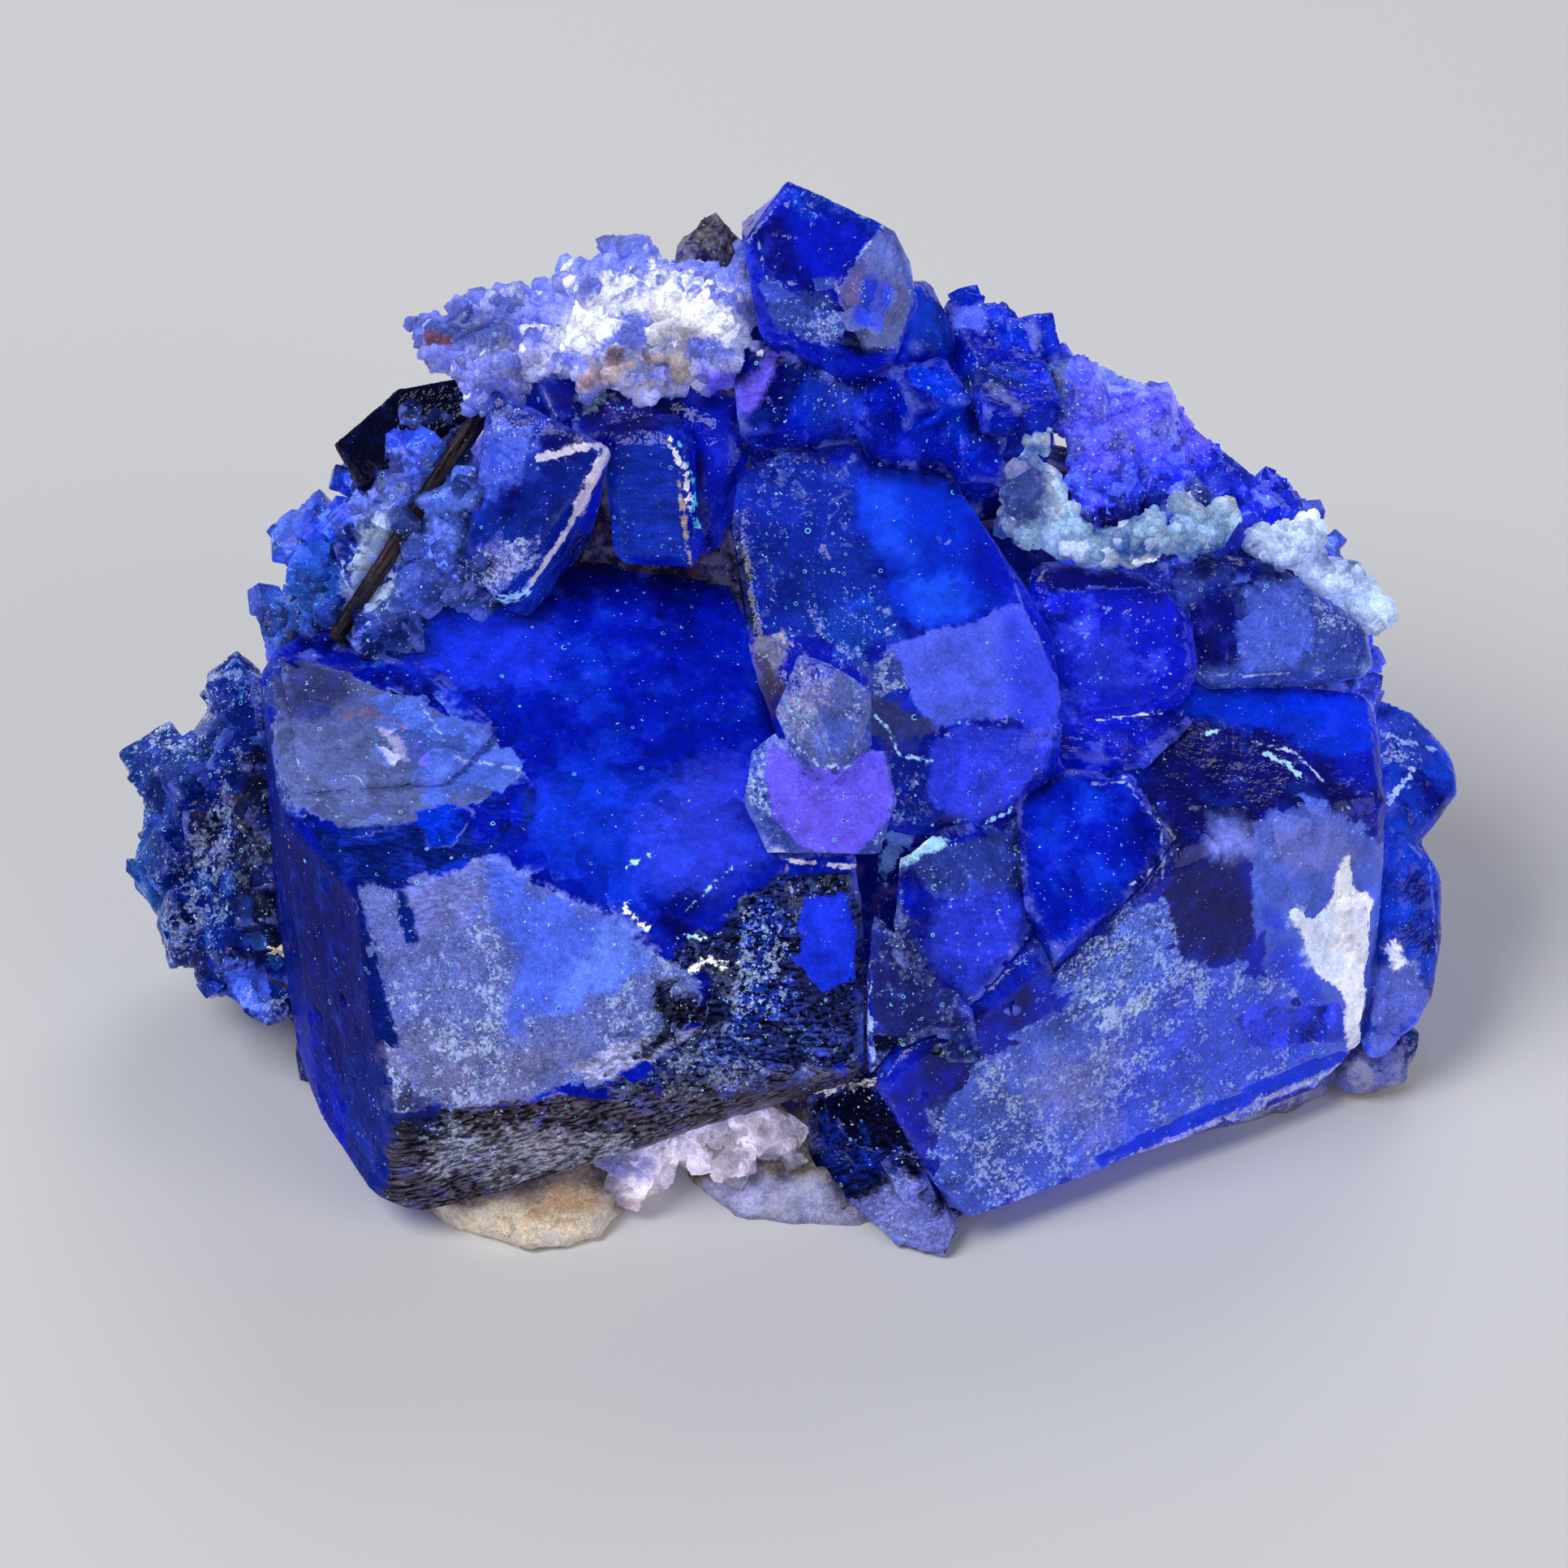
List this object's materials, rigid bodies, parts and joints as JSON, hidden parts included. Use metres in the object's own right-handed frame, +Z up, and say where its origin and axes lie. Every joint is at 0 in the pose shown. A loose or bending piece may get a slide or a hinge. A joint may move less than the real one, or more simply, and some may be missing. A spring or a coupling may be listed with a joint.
{
  "type": "fluorite crystal cluster",
  "caption": "Mineral specimen: blue and violet fluorite cubes grown together on pale rock, with a white druse and a flat underside to stand on.",
  "frame": {"origin": "middle of the footprint, on the ground, in the plane of the rock's flat underside", "axes": "+Z up out of the flat underside, +X to the viewer's right, +Y towards the back"},
  "size_m": [0.0904, 0.0554, 0.0578],
  "materials": {
    "large_left_cube": "deep blue glassy cube, frosted lavender in front",
    "notch_crystal": "deep blue glassy crystal",
    "large_right_cube": "deep blue cube with an etched lavender front",
    "centre_rounded_crystal": "bright blue and violet, worn and pitted",
    "small_violet_cube": "violet, satin",
    "front_blue_crystals": "deep blue, glassy",
    "low_front_crystals": "dark violet, streaked",
    "right_violet_cube": "violet-blue, etched",
    "right_upper_crystal": "dark violet, glassy",
    "right_edge_crystals": "deep blue, glassy",
    "top_crystals": "deep blue with a clear corner",
    "upper_blue_crystals": "bright blue, glassy",
    "ridge_crystals": "blue, glassy",
    "upper_left_crystals": "bright blue, glassy",
    "veined_crystal": "deep blue with a white rim",
    "long_blade": "dark brown, striated",
    "short_blade": "black blue, glossy",
    "back_left_crystals": "deep blue, glassy",
    "back_right_crystals": "violet-blue, glassy",
    "rock": "cream and rusty, rough",
    "white_druse": "white to lavender, sugary",
    "left_slope_crystals": "pale to deep blue, rough",
    "left_lobe_crystals": "dark blue to brown, broken",
    "violet_slope_crystals": "violet, rough",
    "pale_crust_left": "greenish white, sugary",
    "pale_crust_right": "greenish white, sugary",
    "front_quartz": "grey, clear to milky"
  },
  "bodies": {
    "root": {"large_left_cube": "large_left_cube", "notch_crystal": "notch_crystal", "large_right_cube": "large_right_cube", "centre_rounded_crystal": "centre_rounded_crystal", "small_violet_cube": "small_violet_cube", "front_blue_crystals": "front_blue_crystals", "low_front_crystals": "low_front_crystals", "right_violet_cube": "right_violet_cube", "right_upper_crystal": "right_upper_crystal", "right_edge_crystals": "right_edge_crystals", "top_crystals": "top_crystals", "upper_blue_crystals": "upper_blue_crystals", "ridge_crystals": "ridge_crystals", "upper_left_crystals": "upper_left_crystals", "veined_crystal": "veined_crystal", "long_blade": "long_blade", "short_blade": "short_blade", "back_left_crystals": "back_left_crystals", "back_right_crystals": "back_right_crystals", "rock": "rock", "white_druse": "white_druse", "left_slope_crystals": "left_slope_crystals", "left_lobe_crystals": "left_lobe_crystals", "violet_slope_crystals": "violet_slope_crystals", "pale_crust_left": "pale_crust_left", "pale_crust_right": "pale_crust_right", "front_quartz": "front_quartz"}
  },
  "joints": []
}
